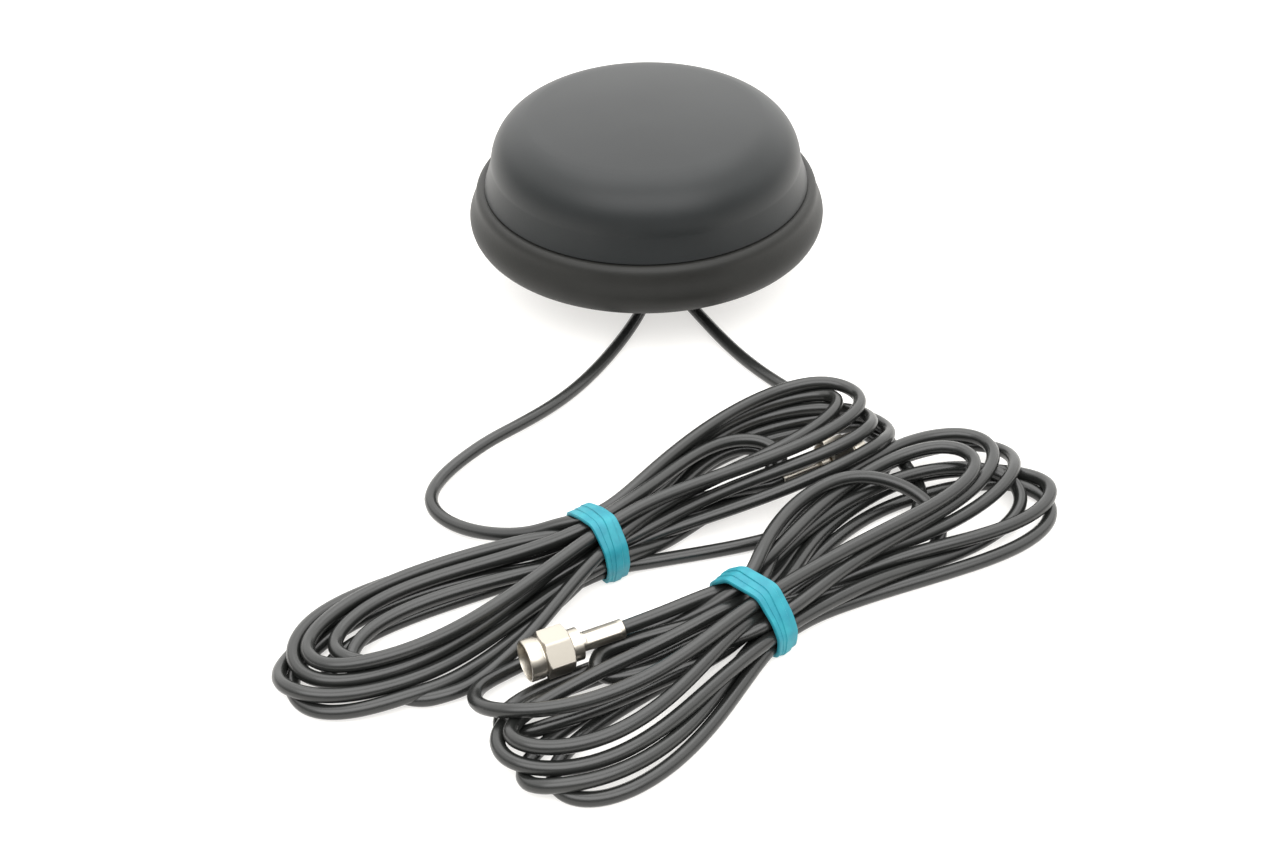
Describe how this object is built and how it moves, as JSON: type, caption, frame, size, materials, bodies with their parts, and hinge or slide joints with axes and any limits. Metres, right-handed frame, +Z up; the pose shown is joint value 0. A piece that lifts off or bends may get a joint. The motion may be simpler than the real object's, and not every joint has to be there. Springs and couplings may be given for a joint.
{
  "type": "external gnss and cellular antenna",
  "caption": "Low round vehicle antenna puck on a hollow threaded stud, with two thin coaxial leads folded into banded hanks that end in screw plugs.",
  "frame": {"origin": "on the floor under the centre of the puck, at the end face of its threaded stud", "axes": "+Z up along the axis of the puck and stud; the leads lie towards -Y"},
  "size_m": [0.152, 0.2144, 0.0428],
  "materials": {
    "radome_plastic": "satin moulded, fine texture",
    "skirt_rubber": "matte moulded",
    "plate_metal": "die-cast",
    "stud_metal": "zinc-plated",
    "seal_rubber": "smooth",
    "gasket_foam": "closed-cell foam",
    "screw_steel": "zinc-plated",
    "board_laminate": "solder resist",
    "patch_ceramic": "fired ceramic",
    "silver_film": "printed silver",
    "pin_brass": "plated",
    "tin_plate": "tinned",
    "chip_plastic": "moulded",
    "filter_ceramic": "gold lid on ceramic",
    "element_copper": "stamped",
    "spacer_foam": "open-cell foam",
    "potting_resin": "cast",
    "lead_jacket": "soft PVC, slight sheen",
    "solder": "bright",
    "band_rubber": "natural rubber, dull",
    "plug_nickel": "bright nickel",
    "dielectric_ptfe": "turned PTFE",
    "pin_gold": "gold plated",
    "ring_bronze": "spring bronze",
    "seal_silicone": "silicone"
  },
  "bodies": {
    "housing": {"radome": "radome_plastic", "skirt": "skirt_rubber", "base_plate": "plate_metal", "threaded_stud": "stud_metal", "o_ring": "seal_rubber", "sealing_gasket": "gasket_foam", "cover_screws": "screw_steel", "main_board": "board_laminate", "board_screws": "screw_steel", "patch_ceramic": "patch_ceramic", "patch_electrode": "silver_film", "feed_pin": "pin_brass", "lna_shield": "tin_plate", "lna_chip": "chip_plastic", "saw_filter": "filter_ceramic", "cell_element": "element_copper", "foam_spacer": "spacer_foam", "cable_potting": "potting_resin", "inner_lead_gnss": "lead_jacket", "inner_lead_cell": "lead_jacket", "solder_joints": "solder", "lead_a": "lead_jacket", "hank_a": "lead_jacket", "band_a": "band_rubber", "tail_a": "lead_jacket", "lead_b": "lead_jacket", "hank_b": "lead_jacket", "band_b": "band_rubber", "tail_b": "lead_jacket", "plug_body_a": "plug_nickel", "ferrule_a": "plug_nickel", "dielectric_a": "dielectric_ptfe", "centre_pin_a": "pin_gold", "snap_ring_a": "ring_bronze", "plug_seal_a": "seal_silicone", "plug_body_b": "plug_nickel", "ferrule_b": "plug_nickel", "dielectric_b": "dielectric_ptfe", "centre_pin_b": "pin_gold", "snap_ring_b": "ring_bronze", "plug_seal_b": "seal_silicone"},
    "nut": {"mounting_nut": "stud_metal"},
    "washer": {"lock_washer": "stud_metal"},
    "coupling_a": {"coupling_nut_a": "plug_nickel"},
    "coupling_b": {"coupling_nut_b": "plug_nickel"}
  },
  "joints": [
    {"name": "washer_slide", "type": "slide", "parent": "housing", "child": "washer", "axis": [0, 0, -1], "range_m": [0, 0.004]},
    {"name": "mounting_nut_turn", "type": "hinge", "parent": "washer", "child": "nut", "pos_m": [0, 0, 0.0118], "axis": [0, 0, -1], "range_deg": [0, 1440]},
    {"name": "coupling_turn_a", "type": "hinge", "parent": "housing", "child": "coupling_a", "pos_m": [0.0361, -0.08429, 0.0049], "axis": [0.8704, 0.4924, 0], "continuous": true},
    {"name": "coupling_turn_b", "type": "hinge", "parent": "housing", "child": "coupling_b", "pos_m": [-0.01701, -0.1399, 0.0068], "axis": [-0.9063, -0.4226, 0], "continuous": true}
  ],
  "couplings": [
    {"joint": "washer_slide", "follows": "mounting_nut_turn", "m_per_rad": 0.00015915}
  ]
}
